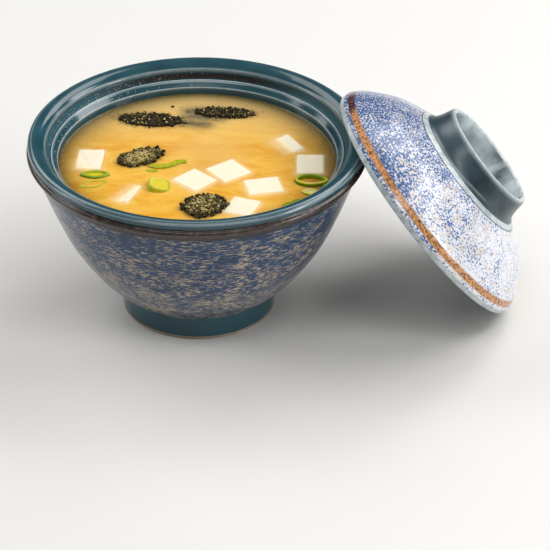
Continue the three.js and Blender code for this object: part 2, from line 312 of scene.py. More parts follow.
def bowl_sections():
    foot, recess = FOOT["radius"], FOOT["recess"]
    inner = foot - FOOT["wall"]
    ease = 90 + FLANGE["slope"]
    return (
        (GLAZE, [(0, recess), (14, recess), (inner - 1.8, recess)]),
        (GLAZE, arc((inner - 1.8, recess - 1.4), 1.4, 80, 0, 5)),
        (BARE, [(inner - 0.1, 1.2)] + arc((inner + 0.8, 0.8), 0.8, 180, 270, 4)),
        (BARE, arc((foot - 0.8, 0.8), 0.8, 270, 360, 4)),
        (THIN_GLAZE, [(foot + 0.05, 1.6), (foot + 0.5, 6), (foot + 0.9, 10.4)]),
        (THIN_GLAZE, [(foot + 1.1, 11.5), (foot + 1.5, 12.2)]),
        (SPECKLED, [(foot + 2.3, 12.8)]),
        (SPECKLED, through(OUTER_WALL, 16)),
        (SPECKLED, [(75.9, 79.1)]),
        (SPECKLED, arc(BEAD["centre"], BEAD["size"], -62, 62, 14)),
        (GLAZE, [(75.4, 82.4)]),
        (GLAZE, arc(RIM["centre"], RIM["size"], -36, 16, 9)),
        (GLAZE, through([(76.9, 85.55), (76.3, 86.14), (75.6, 86.5)], 4)),
        (GLAZE, arc(RIM["centre"], RIM["size"], 80, ease - 12, 5)),
        (GLAZE, through([(73.2, 86.2), (72.1, 85.8), (71.0, 85.2), (70.1, 84.45)], 4)),
        (GLAZE, arc(FLANGE["centre"], FLANGE["size"], ease + 6, 186, 9)),
        # The wall under the flange has a painted reflection, darker and browner towards the back.
        (REFLECTING_WALL, through([(68.75, 81.9), (68.3, 81.0), (67.9, 80.2)], 4)),
        (REFLECTING_WALL, [(67.6, 79.85)]),
        (GLAZE, [(67.2, 79.75), (66.8, 79.7)]),
        (GLAZE, arc((66.5, 79.2), 0.5, 80, 128, 4)),
        (GLAZE, through([(65.6, 78.85), (64.9, 78.2), (64.1, 77.45)], 4)),
        (GLAZE, arc((64.15, 76.7), 0.6, 128, 178, 5)),
        (GLAZE, [(63.35, 75.6), (63.15, 74.2), (63.05, 73.2)]),
        (GLAZE, through(INNER_WALL, 12)),
    )


def lid_sections():
    radius = LID["radius"]
    inner = radius - LID["rim"]
    floor = KNOB["floor"]
    inside = [(15, LID["hollow"] - 0.3), (31.5, 21.6), (43.5, 15.7), (49.9, 10.4), (55, 5), (inner, 1)]
    dome = [(radius, LID["edge"]), (58.8, 8.2), (53.1, 14), (46.3, 19.6), (34.2, 25.75)]
    knob_wall = [(31, 27.5), (29.3, 29.0), (28.3, 31.2), (27.6, 34), (27.0, 37.2)]
    lip = (KNOB["radius"] - KNOB["lip"], KNOB["top"] - KNOB["lip"])
    return (
        (PLAIN, [(0, LID["hollow"])]),
        (PLAIN, through(inside, 9)),
        (SLIP_AND_HIGHLIGHT, arc((inner + 0.9, 0.9), 0.9, 190, 270, 4)),
        (SLIP_AND_HIGHLIGHT, arc((radius - 0.8, 0.8), 0.8, 270, 360, 5)),
        (SLIP_AND_HIGHLIGHT, [(radius, 1.6)]),
        (SPOTTED, [(radius, 2.5)] + through(dome, 16)),
        (PLAIN, [(33.9, 25.75), (33.65, 25.8)]),
        (SLIP_AND_HIGHLIGHT, [(33.4, 26.05), (33.0, 26.4), (32.3, 26.8), (31.6, 27.2)]),
        (PLAIN, through(knob_wall, 7)),
        (PLAIN, arc(lip, KNOB["lip"], 0, 55, 4)),
        # Painted highlight: the top of the knob's lip takes the pale slip finish, standing in for the light
        # along it.
        (SLIP_AND_HIGHLIGHT, arc(lip, KNOB["lip"], 60, 150, 7)),
        (HOLLOW, arc(lip, KNOB["lip"], 155, 172, 2)),
        (HOLLOW, through([(24.0, 36.6), (23.4, 33.6), (22.7, 30.8)], 4)),
        (HOLLOW, arc((KNOB["hollow"] - 1.4, floor + 2), 2, -5, -88, 6)),
        (HOLLOW, [(14, floor), (0, floor)]),
    )


# ---------------------------------------------------------------- making materials


def add(tree, kind, sockets=None, **settings):
    """Adds a shader node, with its settings, and its sockets set or linked."""
    node = tree.nodes.new("ShaderNode" + kind)
    for name, value in settings.items():
        setattr(node, name, value)
    for name, value in (sockets or {}).items():
        if isinstance(value, bpy.types.NodeSocket):
            tree.links.new(value, node.inputs[name])
        else:
            node.inputs[name].default_value = value
    return node


def new_material(name):
    """An empty material, its node tree, and a point's place in its piece's own axes, in mm."""
    material = bpy.data.materials.new(name)
    material.use_nodes = True
    tree = material.node_tree
    tree.nodes.clear()
    return material, tree, add(tree, "Attribute", attribute_name="own").outputs["Vector"]


def closed(material, sockets):
    """A material with its surface shader and its output."""
    tree = material.node_tree
    shader = add(tree, "BsdfPrincipled", sockets)
    add(tree, "OutputMaterial", {"Surface": shader.outputs[0]})
    return material


def carried(tree, name):
    """A number that the mesh carries at each point."""
    return add(tree, "Attribute", attribute_name=name).outputs["Fac"]


def calculate(tree, operation, *values):
    return add(tree, "Math", dict(enumerate(values)), operation=operation).outputs[0]


def vector(tree, operation, *values):
    node = add(tree, "VectorMath", dict(enumerate(values)), operation=operation)
    return node.outputs["Value" if operation in ("DOT_PRODUCT", "LENGTH") else "Vector"]


def mapped(tree, value, low, high, to_low=0.0, to_high=1.0, kind="LINEAR"):
    """How far a value is from low to high, as a share or between two other numbers."""
    sockets = dict(enumerate((value, low, high, to_low, to_high)))
    return add(tree, "MapRange", sockets, interpolation_type=kind).outputs[0]


def blotches(tree, place, size, detail, roughness=0.5, distortion=0.0):
    """Noise with blotches of about one size in mm, or of a size along each axis."""
    if isinstance(size, tuple):
        place = vector(tree, "MULTIPLY", place, tuple(1 / span for span in size))
        size = 1.0
    sockets = {"Vector": place, "Scale": 1 / size, "Detail": detail}
    sockets |= {"Roughness": roughness, "Distortion": distortion}
    return add(tree, "TexNoise", sockets).outputs[0]


def relief(tree, height, strength, depth):
    """Bumps of a depth in mm."""
    return add(tree, "Bump", {"Height": height, "Strength": strength, "Distance": depth * MM}).outputs[0]


def rgba(shade):
    return (*shade, 1.0)


def toned(shade, factor, lift=0.0):
    """A colour made darker or lighter, and then raised towards white."""
    return tuple(min(1.0, factor * channel + lift) for channel in shade)


def blend(first, second, share=0.5, other_share=0.5):
    return tuple(share * a + other_share * b for a, b in zip(first, second))


def ramp(tree, value, *stops):
    """A colour for each value. A stop is a value and its colour."""
    node = add(tree, "ValToRGB", {0: value})
    elements = node.color_ramp.elements
    while len(elements) < len(stops):
        elements.new(1.0)
    for element, (position, shade) in zip(elements, stops):
        element.position = position
        element.color = rgba(shade)
    return node.outputs[0]


def mixed(tree, share, under, over):
    """One colour with another over it, by a share."""
    factor_socket, under_socket, over_socket, mixed_socket = 0, 6, 7, 2
    sockets = {factor_socket: share}
    for socket, shade in ((under_socket, under), (over_socket, over)):
        sockets[socket] = shade if isinstance(shade, bpy.types.NodeSocket) else rgba(shade)
    return add(tree, "Mix", sockets, data_type="RGBA").outputs[mixed_socket]


def round_wall(tree, place, slope):
    """Coordinates on a wall of revolution, in mm: (round it, round it, up its slope), with no seam.

    slope is the wall's (outward, upward) direction. Also gives the plain height.
    """
    reference_radius = 55.0
    x, y, height = add(tree, "SeparateXYZ", {0: place}).outputs
    flat = add(tree, "CombineXYZ", {0: x, 1: y}).outputs[0]
    ring = vector(tree, "MULTIPLY", vector(tree, "NORMALIZE", flat), (reference_radius,) * 3)
    upwards = calculate(tree, "MULTIPLY", height, slope[1])
    along = calculate(tree, "MULTIPLY_ADD", vector(tree, "LENGTH", flat), slope[0], upwards)
    lift = add(tree, "CombineXYZ", {2: along}).outputs[0]
    return vector(tree, "ADD", ring, lift), height


def iron_band(tree, wall, height, low, high):
    """A ragged band between two heights in mm: how far a point is inside it, its mottle, its own rise."""
    stray, soft = 1.2, 0.3        # how far its edges wander, and half their width
    ragged = blotches(tree, wall, (2.4, 2.4, 1.2), 4.0, 0.8)
    rise = calculate(tree, "MULTIPLY_ADD", ragged, stray, height)
    rise = calculate(tree, "SUBTRACT", rise, stray / 2)
    enters = mapped(tree, rise, low - soft, low + soft, kind="SMOOTHSTEP")
    leaves = mapped(tree, rise, high - soft, high + soft, 1.0, 0.0, kind="SMOOTHSTEP")
    return calculate(tree, "MULTIPLY", enters, leaves), ragged, rise


# ---------------------------------------------------------------- materials

GLASS = 1.5                              # a glaze's index of refraction
IRON_PIT = (0.006, 0.008, 0.01)
IRON_LINE = (0.014, 0.012, 0.016)


def dipped_glaze(settings, name, thick, shallow, roughness=0.12):
    """Glossy dipped glaze: deep where it pools, pale grey-blue where it breaks on an edge, partly a painted
    highlight along the edge.

    The eye sees a wet, glassy skin, satin on the knob, with soft clouds, a few dark iron pits and
    light edges.
    """
    material, tree, place = new_material(name)
    pool = ramp(tree, blotches(tree, place, 14, 3.0), (0.3, thick), (0.7, shallow))
    ragged = calculate(tree, "MULTIPLY_ADD", blotches(tree, place, 1.5, 2.0), 0.7, 0.6)
    thin = calculate(tree, "MULTIPLY", carried(tree, "thin"), ragged)
    glaze = mixed(tree, thin, pool, settings.teal_thin)
    # Iron pits up to a millimetre wide, a few on the whole piece
    pits = add(tree, "TexVoronoi", {"Vector": place, "Scale": 1 / 16}).outputs["Distance"]
    pit = mapped(tree, pits, 0.02, 0.034, 1.0, 0.0)
    glaze = mixed(tree, pit, glaze, IRON_PIT)
    peel = calculate(tree, "SUBTRACT", blotches(tree, place, 6, 1.0), pit)
    bump = relief(tree, peel, 0.06, 0.4)
    return closed(material, {"Base Color": glaze, "Roughness": roughness, "IOR": GLASS, "Normal": bump})


def reflection_painted_glaze(settings):
    """The rim's glaze on the wall under the flange: dull and flecked, with a painted reflection of the warm
    broth that makes it darker and browner towards the back.
    """
    material, tree, place = new_material("painted_reflection_glaze")
    backwards = add(tree, "SeparateXYZ", {0: place}).outputs[1]
    # Painted reflection: the wall turns from teal to the reflected brown towards the back.
    tint = mixed(tree, mapped(tree, backwards, 46.0, 64.0), settings.teal, settings.reflected_brown)
    grain = blotches(tree, place, 0.7, 3.0, 0.7)
    shade = mixed(tree, mapped(tree, grain, 0.52, 0.8, 0.0, 0.14), tint, settings.teal_thin)
    bump = relief(tree, grain, 0.3, 0.2)
    return closed(material, {
        "Base Color": shade, "Roughness": 0.5, "Specular IOR Level": 0.2, "Normal": bump,
    })


def sponged_glaze(settings):
    """Cobalt sponged over a sandy ground, under clear glaze, with a band of iron below the rim.

    The eye sees short, fine dashes of blue and beige that run round the wall, bluer towards the rim.
    """
    material, tree, place = new_material("cobalt_dashes_on_sand")
    wall, height = round_wall(tree, place, (0.49, 0.87))
    long, wide = settings.dash_length / MM, settings.dash_width / MM
    dashes = blotches(tree, wall, (long, long, wide), 4.0, 0.7)
    patches = blotches(tree, wall, (11, 11, 7), 2.0)
    level = calculate(tree, "MULTIPLY_ADD", patches, 0.3, dashes)
    level = calculate(tree, "ADD", level, mapped(tree, height, 25.0, 74.0, -0.146, -0.094))
    sand, blue, iron = settings.sand, settings.blue, settings.iron
    speckles = ramp(
        tree, level, (0.45, sand), (0.487, toned(sand, 0.42)), (0.505, toned(blue, 0.3)),
        (0.54, blue), (0.64, toned(blue, 0.2)),
    )
    band_low, band_high = 76.6, 90.0
    inside, ragged, rise = iron_band(tree, wall, height, band_low, band_high)
    mottle = ramp(tree, ragged, (0.36, toned(iron, 0.4)), (0.50, iron), (0.66, toned(iron, 1.5, 0.03)))
    shade = mixed(tree, inside, speckles, mottle)
    # The band's lower edge, where the iron has run together
    line = calculate(tree, "ABSOLUTE", calculate(tree, "SUBTRACT", rise, band_low))
    shade = mixed(tree, mapped(tree, line, 0.3, 1.0, 0.85, 0.0), shade, IRON_LINE)
    bump = relief(tree, dashes, 0.25, 0.25)
    return closed(material, {"Base Color": shade, "Roughness": 0.22, "IOR": GLASS, "Normal": bump})


def spotted_glaze(settings):
    """Cobalt spots on milky white, warm in places, with a rust band that has burnt to plum on one side.

    The eye sees fine blue spots and short dashes, closer together on the side that leans on the bowl; they
    thin out towards the lower side, a painted highlight where glare washes them out.
    """
    material, tree, place = new_material("cobalt_spots_on_white")
    wall, height = round_wall(tree, place, (-0.78, 0.63))
    across = vector(tree, "DOT_PRODUCT", place, (0.96, -0.28, 0))
    # Painted highlight: spots thin out away from this side, standing in for glare on the lower part of the
    # lid.
    upper = mapped(tree, across, 25.0, -50.0)
    size = settings.spot / MM
    spots = blotches(tree, wall, (1.5 * size, 1.5 * size, size), 1.5, 0.55)
    level = calculate(tree, "MULTIPLY_ADD", blotches(tree, wall, 9, 2.0), 0.3, spots)
    level = calculate(tree, "MULTIPLY_ADD", upper, 0.18, level)
    level = calculate(tree, "SUBTRACT", level, 0.19)
    warmth = calculate(tree, "MULTIPLY_ADD", upper, 0.14, blotches(tree, wall, 3.5, 2.0))
    ground = mixed(tree, mapped(tree, warmth, 0.5, 0.68), settings.white, settings.blush)
    blue, rust, plum = settings.bright_blue, settings.rust, settings.plum
    blues = ramp(tree, level, (0.52, blend(blue, settings.white)), (0.62, blue), (0.74, toned(blue, 0.4)))
    speckles = mixed(tree, mapped(tree, level, 0.48, 0.6, 0.0, 0.92), ground, blues)
    inside, ragged, _ = iron_band(tree, wall, height, 4.4, 7.2)
    grain = calculate(tree, "MULTIPLY", calculate(tree, "ADD", ragged, spots), 0.5)
    rusty = ramp(
        tree, grain, (0.40, toned(rust, 0.12)), (0.47, toned(rust, 0.75)), (0.52, rust),
        (0.62, toned(rust, 1.2, 0.08)),
    )
    burnt = ramp(tree, grain, (0.38, toned(plum, 0.4)), (0.52, plum), (0.66, blend(plum, rust)))
    band = mixed(tree, mapped(tree, across, -57.2, -58.8), rusty, burnt)
    shade = mixed(tree, inside, speckles, band)
    bump = relief(tree, spots, 0.15, 0.2)
    return closed(material, {"Base Color": shade, "Roughness": 0.2, "IOR": GLASS, "Normal": bump})


def bare_stoneware(settings):
    """Unglazed fired clay, wiped clean before firing: dull, sandy and a little rough."""
    material, tree, place = new_material("bare_stoneware")
    sand = blotches(tree, place, 0.6, 4.0)
    clay = ramp(tree, sand, (0.35, toned(settings.clay, 0.5)), (0.6, settings.clay))
    bump = relief(tree, sand, 0.5, 0.2)
    return closed(material, {"Base Color": clay, "Roughness": 0.85, "Normal": bump})


def slip_and_highlight_glaze(settings):
    """Glaze run thin over pale slip, on the lid's upright edge and round the knob: a pale grey line. On top
    of the knob's lip the same pale finish is a painted highlight.
    """
    material, tree, place = new_material("pale_slip_and_highlight_glaze")
    clouds = blotches(tree, place, 3, 4.0)
    shade = ramp(tree, clouds, (0.3, toned(settings.slip, 0.6)), (0.58, settings.slip))
    bump = relief(tree, clouds, 0.15, 0.2)
    return closed(material, {"Base Color": shade, "Roughness": 0.2, "Normal": bump})


def miso_broth(settings):
    """Broth with miso stirred in: an opaque gold liquid, finely grained, with faint level streaks."""
    material, tree, place = new_material("cloudy_miso_broth")
    drift = blotches(tree, place, (22, 11, 1), 5.0, 0.6, 0.5)
    grain = blotches(tree, place, (1.8, 0.9, 1), 3.0)
    mist = calculate(tree, "MULTIPLY_ADD", grain, 0.2, drift)
    shade = ramp(tree, mist, (0.44, settings.amber), (0.74, settings.cloud))
    # The far layer is a painted sheen towards the back, and the edge layer a painted shade near the wall.
    layers = {
        "far": settings.far, "haze": settings.weed_haze, "edge": settings.edge, "glow": settings.curd_glow,
    }
    for name, tint in layers.items():
        shade = mixed(tree, carried(tree, name), shade, tint)
    return closed(material, {
        "Base Color": shade, "Roughness": 0.22, "IOR": 1.34,
        "Subsurface Weight": 0.2, "Subsurface Radius": (1.0, 0.6, 0.25), "Subsurface Scale": 2 * MM,
    })


def glint_painted_drops(settings):
    """Small drops of broth: rounded and shiny, painted pale all over, a painted highlight that stands in for
    the glints of light on them.
    """
    material, tree, place = new_material("pale_glint_painted_drops")
    pale = settings.teal_thin
    shade = ramp(tree, blotches(tree, place, 0.4, 1.0), (0.35, toned(pale, 0.4)), (0.6, pale))
    return closed(material, {"Base Color": shade, "Roughness": 0.08, "IOR": 1.34})


def bean_curd(settings):
    """Silken tofu, knife-cut: cream white, faintly translucent, moist, with fine pores."""
    material, tree, place = new_material("silken_tofu")
    pores = blotches(tree, place, 0.7, 4.0)
    red, green, blue = settings.curd
    shade = ramp(tree, pores, (0.3, (0.96 * red, 0.96 * green, 0.88 * blue)), (0.55, settings.curd))
    bump = relief(tree, pores, 0.12, 0.1)
    return closed(material, {
        "Base Color": shade, "Roughness": 0.4, "IOR": 1.38, "Normal": bump,
        "Subsurface Weight": 0.4, "Subsurface Radius": (1.0, 0.8, 0.5), "Subsurface Scale": 1.5 * MM,
    })


def wet_laver(settings):
    """Dried seaweed gone soft in the broth: nearly black curls with straw-coloured flecks, and wet glints
    that are partly painted as the palest flecks.
    """
    material, tree, place = new_material("wet_crinkled_laver")
    crinkle = blotches(tree, place, 0.7, 3.0, 0.7)
    level = calculate(tree, "MULTIPLY_ADD", carried(tree, "fleck_and_glint"), 0.3, crinkle)
    straw = settings.fleck_and_glint
    # The palest stop is a painted highlight: the glints on the tops of some curls.
    shade = ramp(
        tree, level, (0.52, settings.laver), (0.62, toned(straw, 0.16)), (0.74, straw),
        (0.88, toned(straw, 1.3, 0.12)),
    )
    bump = relief(tree, crinkle, 0.8, 0.5)
    return closed(material, {
        "Base Color": shade, "Roughness": 0.38, "IOR": 1.36, "Normal": bump,
        "Specular IOR Level": 0.3, "Specular Tint": (1.0, 0.86, 0.62, 1),
    })


def spring_onion(settings):
    """Sliced spring onion: leaf green outside, yellow-green layers inside, moist and a little see-through."""
    material, tree, place = new_material("sliced_spring_onion")
    veins = blotches(tree, place, 1.1, 3.0)
    level = calculate(tree, "MULTIPLY_ADD", veins, 0.3, carried(tree, "skin"))
    level = calculate(tree, "SUBTRACT", level, 0.15)
    heart, leaf = settings.heart, settings.leaf
    shade = ramp(
        tree, level, (0.0, toned(heart, 0.5, 0.3)), (0.15, heart), (0.38, blend(leaf, heart, 0.45, 0.5)),
        (0.62, leaf), (1.0, toned(leaf, 0.32)),
    )
    bump = relief(tree, veins, 0.3, 0.2)
    return closed(material, {
        "Base Color": shade, "Roughness": 0.25, "Normal": bump,
        "Subsurface Weight": 0.3, "Subsurface Radius": (0.6, 1.0, 0.2), "Subsurface Scale": 1.2 * MM,
    })


def studio_floor(settings):
    """Matt laminate board, with a faint tooth that keeps it from looking painted on."""
    material, tree, place = new_material("matt_board")
    bump = relief(tree, blotches(tree, place, 1.5, 2.0), 0.05, 0.2)
    return closed(material, {"Base Color": rgba(settings.floor), "Roughness": 0.55, "Normal": bump})


# ---------------------------------------------------------------- stage


class MISO_OT_stage(bpy.types.Operator):
    """Camera, soft lights and a pale floor"""

    bl_idname = "miso.stage"
    bl_label = "Stage"

    EYE = (35.27, -1738.03, 1077.42)           # the camera's place from the middle of the bowl's foot
    AIM = Vector((0, 0, 0.05))                 # what the softboxes face, in metres
    FLOOR_REACH = 4.0                          # metres
    # name, place and size in metres, power in watts
    SOFTBOXES = (
        ("softbox_back_left", (-0.72, 0.7, 0.95), (0.7, 0.8), 5.8),
        ("softbox_back_right", (0.55, 0.8, 1.02), (0.55, 0.8), 6.0),
        ("softbox_left", (-1.2, 0.1, 0.6), (0.3, 0.95), 3.6),
        ("softbox_right", (0.92, 0.15, 0.85), (0.8, 0.4), 7.0),
        ("softbox_low", (1.02, -0.5, 0.45), (0.26, 0.7), 5.0),
        ("softbox_above", (0.0, -0.65, 1.2), (1.4, 0.32), 6.0),
    )

    def execute(self, context):
        settings = context.scene.miso_stage
        scene = context.scene
        scene.view_settings.view_transform = "Standard"

        lens = bpy.data.cameras.new("camera")
        lens.sensor_fit = "HORIZONTAL"
        lens.sensor_width = 36
        lens.lens = settings.focal_length
        camera = bpy.data.objects.new("camera", lens)
        camera.location = BOWL_AXIS + Vector(self.EYE) * MM
        camera.rotation_euler = (math.pi / 2 - settings.pitch, 0, 0)
        scene.collection.objects.link(camera)
        scene.camera = camera

        # A dim horizon and a bright ceiling
        world = bpy.data.worlds.new("studio")
        world.use_nodes = True
        tree = world.node_tree
        tree.nodes.clear()
        upwards = add(tree, "SeparateXYZ", {0: add(tree, "TexCoord").outputs["Generated"]}).outputs[2]
        bright = mapped(tree, upwards, 0.35, 0.95, 0.2, 1.0)
        bright = calculate(tree, "MULTIPLY", bright, settings.light)
        sky = add(tree, "Background", {"Color": (0.95, 0.97, 1.0, 1), "Strength": bright})
        add(tree, "OutputWorld", {"Surface": sky.outputs[0]})
        scene.world = world

        for name, place, (wide, high), watts in self.SOFTBOXES:
            lamp = bpy.data.lights.new(name, "AREA")
            lamp.shape = "RECTANGLE"
            lamp.size, lamp.size_y = wide, high
            lamp.energy = watts
            light = bpy.data.objects.new(name, lamp)
            light.location = place
            light.rotation_euler = (self.AIM - Vector(place)).to_track_quat("-Z", "Y").to_euler()
            scene.collection.objects.link(light)

        reach = self.FLOOR_REACH
        corners = [(-reach, -reach, 0), (reach, -reach, 0), (reach, reach, 0), (-reach, reach, 0)]
        floor = new_piece("floor", corners, [(0, 1, 2, 3)])
        floor.data.materials.append(studio_floor(settings))
        settle(floor)
        return {"FINISHED"}


# ---------------------------------------------------------------- bowl and lid


class MISO_OT_bowl(bpy.types.Operator):
    """Thrown and glazed stoneware bowl"""

    bl_idname = "miso.bowl"
    bl_label = "Bowl"

    def execute(self, context):
        settings = context.scene.miso_glaze
        bowl = turned("glazed_bowl", bowl_sections(), Matrix.Translation(BOWL_AXIS), settings.wobble)
        finishes = (
            dipped_glaze(settings, "teal_dipped_glaze", settings.slate, settings.teal),
            sponged_glaze(settings),
            bare_stoneware(settings),
            reflection_painted_glaze(settings),
            dipped_glaze(settings, "foot_dipped_glaze", settings.teal, settings.foot),
        )
        dress(bowl, "bowl_glaze", finishes, "bowl")
        return {"FINISHED"}


class MISO_OT_lid(bpy.types.Operator):
    """Lid, leaning on the bowl's rim"""

    bl_idname = "miso.lid"
    bl_label = "Lid"

    def execute(self, context):
        glaze, lid = context.scene.miso_glaze, context.scene.miso_lid
        sections = lid_sections()
        outline = [point for _, points in sections for point in points]
        depth = max(r * math.sin(lid.lean) - h * math.cos(lid.lean) for r, h in outline)
        place = Matrix.Translation(BOWL_AXIS + Vector((*LID_REACH, depth)) * MM)
        place @= Matrix.Rotation(lid.turn, 4, "Z") @ Matrix.Rotation(lid.lean, 4, "Y")
        piece = turned("glazed_lid", sections, place, glaze.wobble)
        finishes = (
            dipped_glaze(glaze, "slate_dipped_glaze", glaze.knob, glaze.knob_thin, roughness=0.3),
            spotted_glaze(glaze),
            slip_and_highlight_glaze(glaze),
            dipped_glaze(glaze, "thin_dipped_glaze", glaze.knob_thin, glaze.pale),
        )
        dress(piece, "lid_glaze", finishes, "lid")
        return {"FINISHED"}


# ---------------------------------------------------------------- broth


def tree_of(nodes):
    """One search tree over the meshes of some CAD nodes."""
    whole = bmesh.new()
    for node in nodes:
        whole.from_mesh(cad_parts[node].data)
    tree = BVHTree.FromBMesh(whole)
    whole.free()
    return tree


def distance_to_line(point, start, end):
    along = end - start
    share = min(max((point - start).dot(along) / along.length_squared, 0), 1)
    return (point - start - along * share).length


def rough(flat, across, along, layer):
    """Noise over the broth's surface, with grains of a size across the bowl and from front to back."""
    return noise.noise(Vector((flat.x / across, flat.y / along, layer)))


def circle(radius, height, steps):
    """Points round the upright axis."""
    angles = (2 * math.pi * k / steps for k in range(steps))
    return [(radius * math.cos(a), radius * math.sin(a), height) for a in angles]


class MISO_OT_broth(bpy.types.Operator):
    """Cloudy miso broth up to its level"""

    bl_idname = "miso.broth"
    bl_label = "Broth"

    RINGS, TURNS = 160, 420       # the surface's grid
    OVERLAP = 0.2                 # how far the broth reaches into the bowl's wall
    # A sunk wisp of seaweed between the two strips at the back: lines from the bowl's axis
    WISP = tuple(
        (Vector(start), Vector(end))
        for start, end in (((-7, 37), (3, 35)), ((-5, 42), (9, 41)), ((-4, 47), (7, 47)))
    )
    TAIL = (Vector((-9.1, 37.1)), Vector((1.1, 34.3)))      # the same wisp's dark end
    WISP_WIDTH, TAIL_WIDTH = 5.0, 0.7
    SHADED_WAYS = ((0.8, 0.6, 0), (-0.8, 0.6, 0))             # where the painted shade by the wall reaches furthest in
    WALL_CREEP, CUBE_CREEP = 0.8, 0.7        # how far from a wall and from a cube the broth still rises
    WETTED = 0.5                  # how far from a cube it rises fully
    SHY = 0.24 * MM               # how far below a cube's top the broth stays
    STEEP = 0.4                   # how much the side of a cube may face upwards
    EDGE = 0.9 * MM               # how far inside a cube its top is looked for

    curd = tree_of(TOFU_NODES)
    weed = tree_of(SEAWEED_NODES)

    def execute(self, context):
        settings = context.scene.miso_broth
        edge = INNER_WALL[0][0] + self.OVERLAP
        flat = [(0, 0, 0)]
        for i in range(1, self.RINGS + 1):
            flat += circle(edge * i / self.RINGS, 0, self.TURNS)
        surface = [self.look(Vector(point), edge, settings) for point in flat]
        verts = [(x * MM, y * MM, SOUP_LEVEL * MM + rise) for (x, y, _), (rise, *_) in zip(flat, surface)]
        below = through(INNER_WALL, 5)[:-1]
        for radius, height in below:
            points = circle(radius + self.OVERLAP, height, self.TURNS)
            verts += [(x * MM, y * MM, z * MM) for x, y, z in points]
        deepest = len(verts)
        verts.append((0, 0, (INNER_WALL[-1][1] + 0.1) * MM))
        lowest = deepest - self.TURNS
        pairs = [(k, (k + 1) % self.TURNS) for k in range(self.TURNS)]
        faces = [(0, 1 + k, 1 + following) for k, following in pairs]
        for first in range(1, lowest, self.TURNS):
            second = first + self.TURNS
            for k, following in pairs:
                faces.append((first + k, second + k, second + following, first + following))
        faces += [(lowest + k, deepest, lowest + following) for k, following in pairs]
        broth = new_piece("miso_broth", verts, faces)
        for column, name in enumerate(("glow", "haze", "edge", "far"), 1):
            values = np.zeros(len(verts))
            values[:len(surface)] = [min(max(row[column], 0), 1) for row in surface]
            write_attribute(broth, name, values)
        settle(broth, Matrix.Translation(BOWL_AXIS))
        dress(broth, "broth", (miso_broth(settings),), "soup")
        return {"FINISHED"}

    def look(self, flat, edge, settings):
        """How the surface looks at a point: its rise in metres, and its glow, haze, edge and far shares. The
        edge share is painted shade near the wall and the far share a painted sheen towards the back.
        """
        here = BOWL_AXIS + Vector((flat.x, flat.y, SOUP_LEVEL)) * MM
        inwards = max(0.0, edge - flat.length)
        grain = rough(flat, 0.7, 0.5, layer=7)
        wall_rise = settings.meniscus * math.exp(-inwards / self.WALL_CREEP)
        tofu_rise, glow = self.beside_tofu(here, settings)
        haze = self.weed_haze(flat, here, grain)
        return wall_rise + tofu_rise, glow, haze, self.wall_shade_and_tail(flat, inwards, grain), self.pallor(flat)

    def beside_tofu(self, here, settings):
        """The broth's rise in metres over or beside a cube of tofu, and how much light the cube lends it."""
        above, below, reach = 3 * MM, 1.2 * MM, 12 * MM
        depth = self.curd.ray_cast(here - DOWN * above, DOWN, above + reach)[3]
        low = here + DOWN * below
        nearest, normal, _, distance = self.curd.find_nearest(low, reach)
        rise = glow = 0.0
        if nearest:
            away = low - nearest
            in_front = max(0.0, -away.y / max(away.length, TINY))
            sunk = max(0.0, away.z)
            glow = 0.8 * (0.35 + 0.55 * in_front) * math.exp(-(distance + 3 * sunk) / (1.6 * MM))
        if depth is not None:
            glow = max(glow, math.exp2(-(max(0.0, depth - above) / settings.glow_depth) ** 1.5))
            rise = min(max(above - depth - self.SHY, 0.0), settings.creep)
        elif nearest and abs(normal.z) < self.STEEP:
            inside = nearest - normal * self.EDGE
            clear = max(0.0, distance / MM - self.WETTED)
            rise = self.climb(inside, here.z, settings.creep) * math.exp(-clear / self.CUBE_CREEP)
        return rise, glow

    def climb(self, inside, level, most):
        """How far the broth climbs the side of a cube: nearly to its top, and no further than it can."""
        above, reach = 6 * MM, 12 * MM
        top = self.curd.ray_cast(Vector((inside.x, inside.y, level + above)), DOWN, reach)[0]
        return min(max(top.z - level - self.SHY / 4, 0.0), most) if top else 0.0

    def weed_haze(self, flat, here, grain):
        """How much seaweed in the broth clouds it: the sunk wisp, and shreds beside the clumps."""
        shred = 0.5 + 0.5 * rough(flat, 2.2, 1.4, layer=3) + 0.25 * grain
        smear = min(distance_to_line(flat.xy, start, end) for start, end in self.WISP)
        haze = math.exp(-(smear / self.WISP_WIDTH) ** 2) * (0.65 + 0.5 * shred)
        reach = 6 * MM
        nearest, _, _, distance = self.weed.find_nearest(here, reach)
        if nearest:
            haze = max(haze, 0.7 * math.exp(-distance / MM / 1.3) * (0.3 + shred))
        return haze

    def wall_shade_and_tail(self, flat, inwards, grain):
        """How dark the broth is painted: a painted shade near the wall, standing in for the shade of the wall
        and of the lid, widest towards the back and on the right, with the dark wall seen through the shallow
        broth; and darker over the wisp's tail.
        """
        heading = flat.normalized() if flat.length else flat
        side = max(-0.2, *(heading.dot(Vector(way)) for way in self.SHADED_WAYS))
        spread = 4.8 + 3.4 * side + 2.6 * max(0.0, heading.x)
        shade_by_wall = (0.80 + 0.1 * side + 0.15 * grain) * math.exp(-(inwards / spread) ** 1.2)
        tail = distance_to_line(flat.xy, *self.TAIL)
        return max(shade_by_wall, 0.8 * math.exp(-(tail / self.TAIL_WIDTH) ** 2) * (0.6 + grain))

    def pallor(self, flat):
        """How much paler the broth is painted: most towards the back, where it is a painted sheen of light
        reflected off the broth, and some near the middle.
        """
        back = min(max((flat.y - 6) / 46, 0), 1) ** 1.1
        middle = math.exp(-((flat.x - 5) ** 2 + (flat.y - 14) ** 2) / 520)
        return max(0.85 * back, 0.45 * middle)


